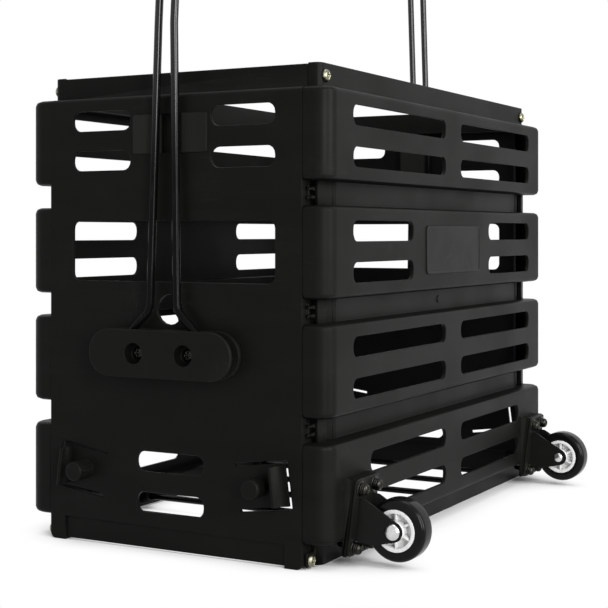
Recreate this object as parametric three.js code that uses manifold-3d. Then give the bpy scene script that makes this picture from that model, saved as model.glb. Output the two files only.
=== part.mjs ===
// Tennis ball hopper: an open-topped moulded bin with a floor of spaced steel rods, two swinging
// rod handles that fold down into legs, and two fixed casters.
// Millimetres, +Z up, front end face towards -Y, casters on the +X side.

import * as THREE from 'three';
import { mergeVertices } from 'three/addons/utils/BufferGeometryUtils.js';
import Module from 'manifold-3d';

const wasm = await Module();
wasm.setup();

// Bin: overall sizes of the moulded panels
const binWidth = 254;
const binLength = 430;
const binHeight = 342;
const wall = 3;
const reliefDepth = 13.5;
const cornerRadius = 12;
const innerCornerRadius = 5;
const rimRise = 17.3;
const fit = 0.3;
const overrun = 1;

// Raised bands on the side panels, counted from the top
const bandCount = 4;
const bandGap = 16.8;
const bandRounding = 4;
const lowestBandBottom = 17;
const lowestBandHeight = 67.7;

// Slots in two rows through the bands and the end plates
const slotMargin = 9.95;
const slotRib = 14.5;
const slotCorner = 6.2;
const sideSlotInner = 15.7;
const sideSlotMargin = 36.7;
const badgeSlotInner = 78;
const casterSlotMargin = 64;
const endSlotInner = 34.2;
const endSlotMargin = 20.8;
const lowSlotHalf = 28.2;
const lowSlotMiddle = 48.7;
const fingerHoleRadius = 10.8;
const fingerHoleDrop = 1.1;

// Side panel: windows beside the corners and snap hooks in the gaps between bands
const windowStart = 21;
const windowWidth = 11;
const hookThickness = 2.4;
const hookSpacing = 6;
const hookArm = 1.8;
const hookReach = 9;
const catchStart = 6.4;
const catchWidth = 2;
const catchProud = 1.8;

// End panel: plate outline, skirt, feet and rim
const seamInset = 20.7;
const seamGap = 0.5;
const plateRounding = 3.5;
const windowRounding = 5.5;
const skirtTop = 17;
const skirtInset = 2;
const skirtLift = 1.3;
const footWidth = 13.3;
const footRounding = 4.5;
const returnDepth = 13.2;
const rimDrop = 0.7;

// Corner screws
const screwHeadRadius = 4.65;
const screwHeadHeight = 2.6;
const screwShankRadius = 2.2;
const screwLength = 14;
const headCrownShare = 0.66;
const rimScrewInset = 20.7;
const rimScrewDrop = 9;
const footScrewInset = 8;
const footScrewZ = 5.6;
const tabThickness = 2.2;
const tabRise = 5;
const bossChamfer = 2.4;

// Bottom rods: the bin's floor, evenly spaced along it
const rodCount = 6;
const bottomRodRadius = 2.5;
const bottomRodZ = 10;
const rodBossRadius = 6;
const rodBossLength = 8;

// Handles: one bent steel rod each, with a sleeve on the top bar
const handleRodRadius = 2.9;
const pivotShare = 0.4;
const pivotDrop = 31.9;
const pivotPinDepth = 9;
const pivotBend = 4;
const kneeHalf = 11.3;
const kneeBend = 12;
const nipHalf = 6.6;
const nipRise = 32;
const nipBend = 94;
const handleTopZ = 779;
const topBend = 40;
const legLean = 0.0178;
const upperLean = 0.07;
const rodOffset = 8.2;
const coverOffset = 12;
const gripRadius = 6.2;
const gripLength = 140;
const gripShoulderShare = 0.55;

// Pivot bracket: back plate, cover plate with two screw cups
const bracketOverhang = 17.3;
const bracketHalfHeight = 17.1;
const backPlateThickness = 4;
const coverThickness = 3.3;
const coverEdge = 0.7;
const bracketScrewHalf = 21;
const cupRadius = 7.5;
const cupWall = 2;
const cupFloor = 2;
const bracketScrewLength = 18;
const bossRadius = 6.2;
const bossDepth = 11;

// Top clip that keeps the raised handles together
const clipPadInner = 11.9;
const clipPadWidth = 19.6;
const clipPadHeight = 28;
const clipPadProud = 1.4;
const clipDrop = 28.2;
const pocketDepth = 11;

// Leg clips: a spring tab with a stop pin and a latch wedge, and the folded leg between them
const legInset = 21.9;
const legZ = 55;
const pinRadius = 7.05;
const pinLength = 15.3;
const pinChamfer = 1;
const wedgeHeight = 27;
const wedgeReach = 11.6;
const wedgeCrest = 2.6;
const wedgeWidth = 6;
const tabHeight = 29;
const tabLength = 39;
const slitWidth = 2.3;
const tabEndMargin = 1;
const clipFit = 0.5;

// Casters
const casterInset = 40;
const casterTilt = 7;
const casterPlateWidth = 36;
const casterPlateHeight = 53.4;
const casterPlateZ = 33.5;
const casterPadFoot = 1.2;
const forkSheet = 1.6;
const axleReach = 33;
const axleZ = 26;
const wheelRadius = 21.5;
const wheelWidth = 16;
const wheelGap = 2.4;
const tyreThickness = 6.8;
const tyreRounding = 3.6;
const hubRimThickness = 2.3;
const hubWebThickness = 4;
const hubBossRadius = 6.4;
const spokeCount = 6;
const spokeThickness = 2;
const spokeInset = 1.2;
const axleRadius = 3;
const axleHeadRadius = 5.6;
const axleHeadHeight = 2.6;
const axleTailRadius = 4.2;
const axleTailHeight = 1.6;
const axleTailChamfer = 0.8;
const forkNoseRadius = 7;
const forkShoulder = [6.5, 13.5];
const forkWaist = [15, -16.5];
const forkHeel = 15.5;
const casterScrewHalfY = 10.5;
const casterScrewHalfZ = 20.5;
const casterScrewRadius = 4.1;
const casterScrewShank = 1.9;
const casterScrewLength = 11;
const washerRadius = 4.5;
const washerHeight = 1;
const plateCorner = 3;

// Badge on the second band, and the moulding gate's mark below it
const badgeLength = 110;
const badgeHeight = 37.7;
const badgeThickness = 1;
const badgeCorner = 4;
const gateRadius = 3;
const gateHeight = 0.8;

// Facets: sides of a full circle, steps of an arc or a bend, and how close two points are one
const boreSides = 8;
const rodSides = 8;
const bossSides = 10;
const discSides = 16;
const wheelSides = 20;
const arcSteps = 2;
const slotSteps = 2;
const plateEndSteps = 3;
const forkNoseSteps = 4;
const bendSteps = 4;
const topBendSteps = 6;
const tyreSteps = 2;
const domeSteps = 3;
const samePoint = 0.0001;

// Places worked out from the sizes above
const halfWidth = binWidth / 2;
const halfLength = binLength / 2;
const seamHalf = halfWidth - seamInset;
const webOuter = halfWidth - reliefDepth;
const webInner = webOuter - wall;
const front = -halfLength;
const rimOuter = halfLength - reliefDepth;
const rodPlane = front - rodOffset;
const coverBack = front - coverOffset;
const coverFront = coverBack - coverThickness;
const bandTop = binHeight - rimRise;
const bandPitch = (bandTop - lowestBandBottom - lowestBandHeight) / (bandCount - 1);
const slotHeight = (bandPitch - bandGap - slotMargin * 2 - slotRib) / 2;
const slotPitch = slotHeight + slotRib;
const sideSlotOuter = halfLength - sideSlotMargin;
const endSlotOuter = seamHalf - endSlotMargin;
const bands = Array.from({ length: bandCount }, (_, i) => {
  const top = bandTop - i * bandPitch;
  const bottom = i === bandCount - 1 ? lowestBandBottom : top - bandPitch + bandGap;
  return { top, bottom, middle: (top + bottom) / 2 };
});
const gaps = bands.slice(1).map((band, i) => ({
  bottom: band.top,
  top: bands[i].bottom,
  middle: (band.top + bands[i].bottom) / 2,
}));
const fingerHoleZ = gaps[1].middle - fingerHoleDrop;
const pivotHalfSpacing = seamHalf * pivotShare;
const pivotZ = gaps[1].middle - pivotDrop;
const kneeZ = pivotZ + pivotHalfSpacing - kneeHalf;
const nipZ = binHeight + nipRise;
const clipCentreZ = bandTop - clipDrop;

// A closed geometry as a solid that can be joined and cut, and back again
function solid(geometry) {
  const bare = geometry.index ? geometry.toNonIndexed() : geometry.clone();
  bare.deleteAttribute('normal');
  bare.deleteAttribute('uv');
  const merged = mergeVertices(bare, samePoint);
  return new wasm.Manifold(new wasm.Mesh({
    numProp: 3,
    vertProperties: new Float32Array(merged.attributes.position.array),
    triVerts: new Uint32Array(merged.index.array),
  }));
}

function geometryOf(body) {
  const mesh = body.getMesh();
  const geometry = new THREE.BufferGeometry();
  geometry.setAttribute('position', new THREE.BufferAttribute(new Float32Array(mesh.vertProperties), 3));
  geometry.setIndex(new THREE.BufferAttribute(new Uint32Array(mesh.triVerts), 1));
  return geometry.toNonIndexed();
}

const ordered = (a, b) => [Math.min(a, b), Math.max(a, b)];
const join = (bodies) => bodies.reduce((sum, body) => sum.add(body));
const cut = (body, tools) => (tools.length ? body.subtract(join(tools)) : body);
const move = (body, x, y, z) => body.translate([x, y, z]);
const mirrorX = (body) => body.mirror([1, 0, 0]);
const mirrorY = (body) => body.mirror([0, 1, 0]);

function block(x0, x1, y0, y1, z0, z1) {
  const geometry = new THREE.BoxGeometry(x1 - x0, y1 - y0, z1 - z0);
  geometry.translate((x0 + x1) / 2, (y0 + y1) / 2, (z0 + z1) / 2);
  return solid(geometry);
}

// A rectangle with rounded corners, centred on the origin
function roundedRectangle(halfX, halfY, radius) {
  const shape = new THREE.Shape();
  const r = Math.min(radius, halfX, halfY);
  shape.absarc(halfX - r, halfY - r, r, 0, Math.PI / 2);
  shape.absarc(r - halfX, halfY - r, r, Math.PI / 2, Math.PI);
  shape.absarc(r - halfX, r - halfY, r, Math.PI, Math.PI * 1.5);
  shape.absarc(halfX - r, r - halfY, r, Math.PI * 1.5, Math.PI * 2);
  return shape;
}

function polygon(points) {
  return new THREE.Shape(points.map(([x, y]) => new THREE.Vector2(x, y)));
}

// Extrusions along Z, or along X or Y by turning the same solid
function extrudeZ(shape, z0, z1, segments = 1, bevel = 0, bevelSegments = 2) {
  const geometry = new THREE.ExtrudeGeometry(shape, {
    depth: z1 - z0 - bevel * 2,
    curveSegments: segments,
    bevelEnabled: bevel > 0,
    bevelThickness: bevel,
    bevelSize: bevel,
    bevelOffset: -bevel,
    bevelSegments,
  });
  geometry.translate(0, 0, z0 + bevel);
  return solid(geometry);
}

// A shape drawn in (X, Z) and carried along +Y from y0 to y1
function extrudeY(shape, y0, y1, segments = 1, bevel = 0, bevelSegments = 2) {
  return extrudeZ(shape, -y1, -y0, segments, bevel, bevelSegments).rotate([90, 0, 0]);
}

// A shape drawn in (Y, Z) and carried along +X from x0 to x1
function extrudeX(shape, x0, x1, segments = 1, bevel = 0, bevelSegments = 2) {
  return extrudeZ(shape, x0, x1, segments, bevel, bevelSegments).rotate([90, 0, 90]);
}

function lathe(profile, segments) {
  const points = profile.map(([radius, height]) => new THREE.Vector2(radius, height));
  return solid(new THREE.LatheGeometry(points, segments));
}

function cylinder(radius, length, segments) {
  return solid(new THREE.CylinderGeometry(radius, radius, length, segments));
}

// Cylinders by the axis they lie on, from one end to the other
const rodX = (radius, x0, x1, y, z, segments) =>
  move(cylinder(radius, x1 - x0, segments).rotate([0, 0, 90]), (x0 + x1) / 2, y, z);
const rodY = (radius, y0, y1, x, z, segments) =>
  move(cylinder(radius, y1 - y0, segments), x, (y0 + y1) / 2, z);

// A rod bent at its corner points: straight runs between round bends
class BentRod extends THREE.Curve {
  constructor(corners, radii, steps) {
    super();
    this.stations = [];
    corners.forEach((corner, i) => {
      if (i === 0 || i === corners.length - 1) {
        const other = corners[i === 0 ? 1 : i - 1];
        const along = corner.clone().sub(other).normalize().multiplyScalar(i === 0 ? -1 : 1);
        this.stations.push({ at: corner, along });
        return;
      }
      const before = corner.clone().sub(corners[i - 1]).normalize();
      const after = corners[i + 1].clone().sub(corner).normalize();
      const turn = before.angleTo(after);
      const setback = radii[i] * Math.tan(turn / 2);
      const start = corner.clone().addScaledVector(before, -setback);
      const inward = after.clone().addScaledVector(before, -before.dot(after)).normalize();
      for (let step = 0; step <= steps[i]; step += 1) {
        const angle = turn * step / steps[i];
        const at = start.clone()
          .addScaledVector(before, radii[i] * Math.sin(angle))
          .addScaledVector(inward, radii[i] * (1 - Math.cos(angle)));
        const along = before.clone().multiplyScalar(Math.cos(angle)).addScaledVector(inward, Math.sin(angle));
        this.stations.push({ at, along });
      }
    });
  }

  station(t) {
    return this.stations[Math.round(t * (this.stations.length - 1))];
  }

  getPoint(t) {
    return this.station(t).at.clone();
  }

  getPointAt(u) {
    return this.getPoint(u);
  }

  getTangent(t) {
    return this.station(t).along.clone();
  }

  getTangentAt(u) {
    return this.getTangent(u);
  }
}

function bentRod(corners, radii, steps, radius, sides) {
  const path = new BentRod(corners, radii, steps);
  const section = new THREE.Shape();
  section.absarc(0, 0, radius, 0, Math.PI * 2);
  return solid(new THREE.ExtrudeGeometry(section, {
    steps: path.stations.length - 1,
    curveSegments: sides / 2,
    bevelEnabled: false,
    extrudePath: path,
  }));
}

// Pan head screw along -Z: head above z = 0, shank below
function panScrew(headRadius, headHeight, shankRadius, length) {
  return lathe([
    [0, -length],
    [shankRadius, -length],
    [shankRadius, 0],
    [headRadius, 0],
    [headRadius * headCrownShare, headHeight],
    [0, headHeight],
  ], boreSides).rotate([90, 0, 0]);
}

const pointedX = (screw, x, y, z) => move(screw.rotate([0, 90, 0]), x, y, z);
const pointedFront = (screw, x, y, z) => move(screw.rotate([90, 0, 0]), x, y, z);

// Slots of one row pair, as solids that cut through a wall
function slotTools(extrude, inner, outer, middle, from, to) {
  const tools = [];
  for (const row of [-1, 1]) {
    for (const side of [-1, 1]) {
      const shape = roundedRectangle((outer - inner) / 2, slotHeight / 2, slotCorner);
      const tool = extrude(shape, from, to, slotSteps);
      tools.push({ tool, along: side * (inner + outer) / 2, up: middle + row * slotPitch / 2 });
    }
  }
  return tools;
}

// Side panel on +X: raised bands that wrap the corners, recessed web between them
function sidePanel(withCasters) {
  const bodies = [];
  const hollows = [];
  for (const band of bands) {
    const outer = roundedRectangle(halfWidth, halfLength, cornerRadius);
    bodies.push(extrudeZ(outer, band.bottom, band.top, arcSteps, bandRounding));
    const inner = roundedRectangle(halfWidth - wall, halfLength - wall, cornerRadius - wall);
    hollows.push(extrudeZ(inner, band.bottom + wall, band.top - wall));
  }
  const web = roundedRectangle(webOuter, rimOuter, innerCornerRadius);
  bodies.push(extrudeZ(web, skirtLift, binHeight, arcSteps));
  const inside = roundedRectangle(webInner, rimOuter - wall, innerCornerRadius - wall);
  const panel = cut(join(bodies), [...hollows, extrudeZ(inside, -overrun, binHeight + overrun)]);
  const past = halfLength + overrun;
  const height = [-overrun, binHeight + overrun];
  const seams = [block(-halfWidth - overrun, seamHalf - wall + fit, -past, past, ...height)];
  for (const end of [-1, 1]) {
    seams.push(block(-halfWidth, seamHalf + seamGap, ...ordered(end * rimOuter, end * past), ...height));
  }
  return dressSidePanel(cut(panel, seams), withCasters);
}

function dressSidePanel(panel, withCasters) {
  const added = [];
  const removed = [];
  for (const end of [-1, 1]) {
    const span = (a, b) => ordered(end * (halfLength - a), end * (halfLength - b));
    const place = (distance) => end * (halfLength - distance);
    for (const gap of gaps) {
      const width = span(windowStart, windowStart + windowWidth);
      removed.push(block(webInner - overrun, webOuter + overrun, ...width, gap.bottom, gap.top));
    }
    // Tab beside the end panel's foot, and the holes for both corner screws
    const tabInner = seamHalf + fit;
    const tabWidth = span(skirtInset + wall / 2, reliefDepth + wall / 2);
    added.push(block(tabInner, tabInner + tabThickness, ...tabWidth, skirtLift, footScrewZ + tabRise));
    removed.push(rodX(screwShankRadius + fit, tabInner - overrun, tabInner + tabThickness + overrun,
      place(footScrewInset), footScrewZ, boreSides));
    removed.push(rodX(screwShankRadius + fit, webInner - overrun, webOuter + overrun,
      place(rimScrewInset), binHeight - rimScrewDrop, boreSides));
  }
  // Bosses for the bottom rods
  for (const y of rodPlaces()) {
    const bossEnd = webInner - rodBossLength;
    added.push(rodX(rodBossRadius, bossEnd, webInner + wall / 2, y, bottomRodZ, bossSides));
    removed.push(rodX(bottomRodRadius + fit, bossEnd - overrun, webInner - fit, y, bottomRodZ, boreSides));
  }
  bands.forEach((band, i) => {
    const inner = i === 1 ? badgeSlotInner : sideSlotInner;
    const outer = i === bandCount - 1 ? halfLength - casterSlotMargin : sideSlotOuter;
    for (const { tool, along, up } of slotTools(extrudeX, inner, outer, band.middle,
      halfWidth - wall * 2, halfWidth + overrun)) {
      removed.push(move(tool, 0, along, up));
    }
  });
  added.push(rodX(gateRadius, webOuter - fit, webOuter + gateHeight, 0, gaps[1].middle, boreSides));
  if (withCasters) {
    for (const end of [-1, 1]) {
      added.push(casterPad(end));
      removed.push(...casterHoles(end));
    }
  }
  return cut(join([panel, ...added, ...hooks()]), removed);
}

function rodPlaces() {
  const insideHalf = halfLength - skirtInset - wall;
  const gap = (insideHalf * 2 - rodCount * bottomRodRadius * 2) / (rodCount + 1);
  const pitch = gap + bottomRodRadius * 2;
  return Array.from({ length: rodCount }, (_, i) => (i - (rodCount - 1) / 2) * pitch);
}

// Pairs of barbed prongs on the web's corners, each hooked over a catch on the end panel
function hooks() {
  const prongs = [];
  const barbEdge = seamHalf + fit * 2;
  const armEdge = seamHalf + catchProud + fit;
  const profile = polygon([
    [armEdge + hookArm, rimOuter - wall / 2],
    [armEdge + hookArm, rimOuter + hookReach - catchProud],
    [armEdge, rimOuter + hookReach],
    [barbEdge, halfLength - catchStart + fit],
    [armEdge, halfLength - catchStart + fit],
    [armEdge, rimOuter - wall / 2],
  ]);
  for (const gap of gaps) {
    for (const row of [-1, 1]) {
      const middle = gap.middle + row * hookSpacing / 2;
      const prong = extrudeZ(profile, middle - hookThickness / 2, middle + hookThickness / 2);
      prongs.push(prong, mirrorY(prong));
    }
  }
  return prongs;
}

// End panel at the front: a tray with a raised plate, deep returns, a recessed rim and two feet
function endPanel() {
  const rimFront = front + reliefDepth;
  const rimBack = rimFront + wall;
  const profile = new THREE.Shape();
  profile.moveTo(front, 0);
  profile.lineTo(rimBack, 0);
  profile.lineTo(rimBack, bandTop);
  profile.absarc(front + plateRounding, bandTop - plateRounding, plateRounding, Math.PI / 2, Math.PI);
  profile.closePath();
  const outline = new THREE.Shape();
  outline.moveTo(seamHalf, binHeight);
  outline.lineTo(-seamHalf, binHeight);
  outline.absarc(footRounding - seamHalf, footRounding, footRounding, Math.PI, Math.PI * 1.5);
  outline.absarc(seamHalf - footRounding, footRounding, footRounding, Math.PI * 1.5, Math.PI * 2);
  outline.closePath();
  const shell = extrudeX(profile, -seamHalf, seamHalf, arcSteps)
    .intersect(extrudeY(outline, front - overrun, rimBack + overrun, arcSteps));
  const inner = seamHalf - wall;
  const hollows = [block(-inner, inner, front + wall, rimBack + overrun, -overrun, bandTop - wall)];
  for (const side of [-1, 1]) {
    hollows.push(block(...ordered(side * inner, side * (seamHalf + overrun)), front + returnDepth,
      rimBack + overrun, -overrun, bandTop + overrun));
  }
  // Skirt between the feet, set back a little from the plate
  const skirtHalf = seamHalf - footWidth;
  hollows.push(block(-skirtHalf, skirtHalf, front - overrun, front + wall + overrun, -overrun, skirtTop));
  const added = [
    block(-skirtHalf - fit, skirtHalf + fit, front + skirtInset, front + skirtInset + wall,
      skirtLift, skirtTop + wall),
    block(-inner, inner, rimFront, rimBack, bandTop - wall, binHeight - rimDrop),
  ];
  for (const side of [-1, 1]) {
    added.push(block(...ordered(side * skirtHalf, side * (seamHalf - footRounding)), front + wall / 2,
      front + returnDepth, 0, skirtTop));
  }
  return dressEndPanel(join([cut(shell, hollows), ...added]), rimBack);
}

function dressEndPanel(shell, rimBack) {
  const added = [];
  const removed = [];
  const bossBack = front + wall + bossDepth;
  for (const side of [-1, 1]) {
    const span = (a, b) => ordered(side * a, side * b);
    for (const gap of gaps) {
      const half = hookSpacing / 2 + hookThickness;
      added.push(block(...span(seamHalf - wall / 2, seamHalf + catchProud), front + catchStart,
        front + catchStart + catchWidth, gap.middle - half, gap.middle + half));
    }
    added.push(rimBoss(side, rimBack));
    removed.push(rodX(screwShankRadius + fit, ...span(webInner - screwLength, webInner),
      front + rimScrewInset, binHeight - rimScrewDrop, boreSides));
    removed.push(rodX(screwShankRadius + fit, ...span(seamHalf - screwLength, seamHalf + overrun),
      front + footScrewInset, footScrewZ, boreSides));
    // Pivot bores, bracket screw bosses and the pads of the top clip
    for (const [x, radius] of [[pivotHalfSpacing, handleRodRadius], [bracketScrewHalf, screwShankRadius]]) {
      added.push(rodY(bossRadius, front + wall / 2, bossBack, side * x, pivotZ, bossSides));
      removed.push(rodY(radius + fit, front - overrun, bossBack - wall / 2, side * x, pivotZ, bossSides));
    }
    const pad = extrudeY(roundedRectangle(clipPadWidth / 2, clipPadHeight / 2, wall / 2),
      front - clipPadProud, front + wall / 2, 1, clipPadProud / 2, 1);
    added.push(move(pad, side * (clipPadInner + clipPadWidth / 2), 0, clipCentreZ));
  }
  // Closed pocket between the pads
  const pocketHalf = clipPadHeight / 2;
  const pocketOuter = clipPadInner + wall / 2;
  added.push(block(-pocketOuter, pocketOuter, front + wall / 2, front + pocketDepth + wall / 2,
    clipCentreZ - pocketHalf - wall / 2, clipCentreZ + pocketHalf + wall / 2));
  removed.push(block(-clipPadInner, clipPadInner, front - clipPadProud - overrun, front + pocketDepth,
    clipCentreZ - pocketHalf, clipCentreZ + pocketHalf));
  // Slots, the wide window and the finger hole
  const through = [front - overrun, front + wall + overrun];
  const slots = slotTools(extrudeY, endSlotInner, endSlotOuter, bands[0].middle, ...through);
  for (const { tool, along, up } of slots) {
    removed.push(move(tool, along, 0, up));
  }
  const windowShape = roundedRectangle(endSlotOuter, (slotPitch + slotHeight) / 2, windowRounding);
  removed.push(move(extrudeY(windowShape, ...through, slotSteps), 0, 0, bands[1].middle));
  removed.push(rodY(fingerHoleRadius, ...through, 0, fingerHoleZ, discSides));
  for (const row of [-1, 1]) {
    const shape = roundedRectangle(lowSlotHalf, slotHeight / 2, slotCorner);
    removed.push(move(extrudeY(shape, ...through, slotSteps), 0, 0, lowSlotMiddle + row * slotPitch / 2));
  }
  const clips = legClips(through);
  return join([cut(join([shell, ...added]), [...removed, ...clips.slits]), ...clips.solids]);
}

// Screw boss behind the side panel's wrapped rim, chamfered past its inside corner
function rimBoss(side, rimBack) {
  const outer = webInner - fit;
  const inner = webInner - screwLength;
  const back = front + rimScrewInset + screwHeadRadius;
  const profile = polygon([
    [inner, rimBack - wall / 2],
    [seamHalf - wall, rimBack - wall / 2],
    [seamHalf - wall, rimBack + fit],
    [outer - bossChamfer, rimBack + fit],
    [outer, rimBack + fit + bossChamfer],
    [outer, back],
    [inner, back],
  ]);
  const screwZ = binHeight - rimScrewDrop;
  const boss = extrudeZ(profile, screwZ - screwHeadRadius, screwZ + screwHeadRadius);
  return side > 0 ? boss : mirrorX(boss);
}

// Where the folded leg passes the clips: the raised leg turned down about its pivot until it runs
// through a point beside the seam. Its splay is the angle from the pivot down to that point,
// less the angle that the leg's own offset from the pivot takes up.
function foldedLeg() {
  const lean = Math.atan2(kneeHalf - nipHalf, nipZ - kneeZ);
  const offset = Math.cos(lean) * (pivotHalfSpacing - kneeHalf) - Math.sin(lean) * (kneeZ - pivotZ);
  const x = seamHalf - legInset;
  const across = x - pivotHalfSpacing;
  const down = pivotZ - legZ;
  const splay = Math.atan2(across, down) - Math.asin(offset / Math.hypot(across, down));
  return { x, z: legZ, splay: THREE.MathUtils.radToDeg(splay) };
}

// Spring tab clips, drawn square to the folded leg: local x runs outwards along the tab
function legClips(through) {
  const leg = foldedLeg();
  const place = (body) => move(body.rotate([0, -leg.splay, 0]), leg.x, 0, leg.z);
  const wedgeFace = handleRodRadius + clipFit;
  const tabEnd = wedgeFace + wedgeWidth + tabEndMargin;
  const slitEdge = tabHeight / 2 + slitWidth;
  const slitShapes = [-1, 1].map((row) => block(tabEnd - tabLength, tabEnd + slitWidth, ...through,
    ...ordered(row * tabHeight / 2, row * slitEdge)));
  slitShapes.push(block(tabEnd, tabEnd + slitWidth, ...through, -slitEdge, slitEdge));
  const pinX = -handleRodRadius - clipFit - pinRadius;
  const pinEnd = pinLength + wall / 2;
  const pin = move(lathe([
    [0, 0],
    [pinRadius, 0],
    [pinRadius, pinEnd - pinChamfer],
    [pinRadius - pinChamfer, pinEnd],
    [0, pinEnd],
  ], discSides).rotate([180, 0, 0]), pinX, front + wall / 2, 0);
  const profile = polygon([
    [wedgeFace, front + wall / 2],
    [wedgeFace, front - wedgeReach],
    [wedgeFace + wedgeCrest, front - wedgeReach],
    [wedgeFace + wedgeWidth, front],
    [wedgeFace + wedgeWidth, front + wall / 2],
  ].reverse());
  const wedge = extrudeZ(profile, -wedgeHeight / 2, wedgeHeight / 2);
  const slits = slitShapes.map(place);
  const solids = [pin, wedge].map(place);
  return { slits: [...slits, ...slits.map(mirrorX)], solids: [...solids, ...solids.map(mirrorX)] };
}

// Caster places are shared by the pad, its screw holes and the fork
function casterFrame(end) {
  const tilt = THREE.MathUtils.degToRad(casterTilt);
  const outward = casterPadFoot + Math.tan(tilt) * casterPlateHeight / 2;
  return { x: halfWidth + outward, y: end * (halfLength - casterInset), z: casterPlateZ };
}

// Turns a solid drawn on an upright plate (+X outwards) onto the tilted pad
function onCasterPad(body, end) {
  const at = casterFrame(end);
  return move(body.rotate([0, casterTilt, 0]), at.x, at.y, at.z);
}

function casterPad(end) {
  const at = casterFrame(end);
  const lean = Math.tan(THREE.MathUtils.degToRad(casterTilt));
  const half = casterPlateHeight / 2;
  const profile = polygon([
    [halfWidth - wall / 2, at.z - half],
    [at.x - lean * half, at.z - half],
    [at.x + lean * half, at.z + half],
    [halfWidth - wall / 2, at.z + half],
  ]);
  return extrudeY(profile, at.y - casterPlateWidth / 2, at.y + casterPlateWidth / 2);
}

function casterHoles(end) {
  const holes = [];
  for (const y of [-casterScrewHalfY, casterScrewHalfY]) {
    for (const z of [-casterScrewHalfZ, casterScrewHalfZ]) {
      const hole = rodX(casterScrewShank + fit, -casterScrewLength - fit, overrun, y, z, boreSides);
      holes.push(onCasterPad(hole, end));
    }
  }
  return holes;
}

// The axle's place in the tilted plate's own axes
function axleOnPlate() {
  const at = casterFrame(1);
  const tilt = THREE.MathUtils.degToRad(casterTilt);
  const dx = halfWidth + axleReach - at.x;
  const dz = axleZ - at.z;
  return {
    x: dx * Math.cos(tilt) - dz * Math.sin(tilt),
    z: dx * Math.sin(tilt) + dz * Math.cos(tilt),
  };
}

// Angle on the nose circle where a line from the point touches it
function tangentAngle(centre, point, sign) {
  const dx = point[0] - centre.x;
  const dz = point[1] - centre.z;
  return Math.atan2(dz, dx) - sign * Math.acos(forkNoseRadius / Math.hypot(dx, dz));
}

// Stamped fork: base plate with two triangular legs, rounded about the axle
function casterFork(end) {
  const axle = axleOnPlate();
  const plateShape = roundedRectangle(casterPlateWidth / 2, casterPlateHeight / 2, plateCorner);
  const plate = extrudeX(plateShape, fit, fit + forkSheet);
  const legInner = wheelWidth / 2 + wheelGap;
  const leg = new THREE.Shape();
  leg.moveTo(fit, -forkHeel);
  leg.lineTo(...forkWaist);
  const noseFrom = tangentAngle(axle, forkWaist, -1);
  const noseTo = tangentAngle(axle, forkShoulder, 1);
  leg.absarc(axle.x, axle.z, forkNoseRadius, noseFrom, noseTo);
  leg.lineTo(...forkShoulder);
  leg.lineTo(fit, forkShoulder[1]);
  leg.closePath();
  const bodies = [plate];
  for (const side of [-1, 1]) {
    const y0 = side > 0 ? legInner : -legInner - forkSheet;
    bodies.push(extrudeY(leg, y0, y0 + forkSheet, forkNoseSteps));
  }
  const removed = [rodY(axleRadius + fit, -casterPlateWidth, casterPlateWidth, axle.x, axle.z, bossSides)];
  for (const y of [-casterScrewHalfY, casterScrewHalfY]) {
    for (const z of [-casterScrewHalfZ, casterScrewHalfZ]) {
      removed.push(rodX(casterScrewShank + fit, -overrun, forkSheet + overrun, y, z, boreSides));
    }
  }
  return onCasterPad(cut(join(bodies), removed), end);
}

function casterScrews() {
  const screws = [];
  for (const end of [-1, 1]) {
    for (const y of [-casterScrewHalfY, casterScrewHalfY]) {
      for (const z of [-casterScrewHalfZ, casterScrewHalfZ]) {
        const seat = forkSheet + fit * 2;
        const washer = rodX(washerRadius, seat, seat + washerHeight, y, z, boreSides);
        const length = casterScrewLength + seat;
        const screw = panScrew(casterScrewRadius, screwHeadHeight, casterScrewShank, length);
        screws.push(onCasterPad(join([washer, pointedX(screw, seat + washerHeight / 2, y, z)]), end));
      }
    }
  }
  return screws;
}

const wheelPlace = (body, end) =>
  move(body, halfWidth + axleReach, end * (halfLength - casterInset), axleZ);

function tyre(end) {
  const inner = wheelRadius - tyreThickness;
  const half = wheelWidth / 2;
  const shoulder = Array.from({ length: tyreSteps + 1 }, (_, step) => {
    const angle = Math.PI / 2 * step / tyreSteps;
    const radius = wheelRadius - tyreRounding * (1 - Math.sin(angle));
    return [radius, half - tyreRounding * (1 - Math.cos(angle))];
  });
  const profile = [
    [inner, -half],
    ...shoulder.map(([radius, height]) => [radius, -height]),
    ...shoulder.slice().reverse(),
    [inner, half],
    [inner, -half],
  ];
  return wheelPlace(lathe(profile, wheelSides), end);
}

function hub(end) {
  const outer = wheelRadius - tyreThickness - fit;
  const half = wheelWidth / 2;
  const rimInner = outer - hubRimThickness;
  const web = hubWebThickness / 2;
  const bossHalf = half + wheelGap - fit * 2;
  const body = lathe([
    [axleRadius + fit, -bossHalf],
    [hubBossRadius, -bossHalf],
    [hubBossRadius, -web],
    [rimInner, -web],
    [rimInner, -half],
    [outer, -half],
    [outer, half],
    [rimInner, half],
    [rimInner, web],
    [hubBossRadius, web],
    [hubBossRadius, bossHalf],
    [axleRadius + fit, bossHalf],
    [axleRadius + fit, -bossHalf],
  ], wheelSides);
  const spokes = Array.from({ length: spokeCount }, (_, i) => {
    const length = [hubBossRadius - spokeInset, rimInner + spokeInset];
    const depth = half - spokeInset;
    const spoke = block(...length, -depth, depth, -spokeThickness / 2, spokeThickness / 2);
    return spoke.rotate([0, i * 360 / spokeCount, 0]);
  });
  return wheelPlace(join([body, ...spokes]), end);
}

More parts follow.
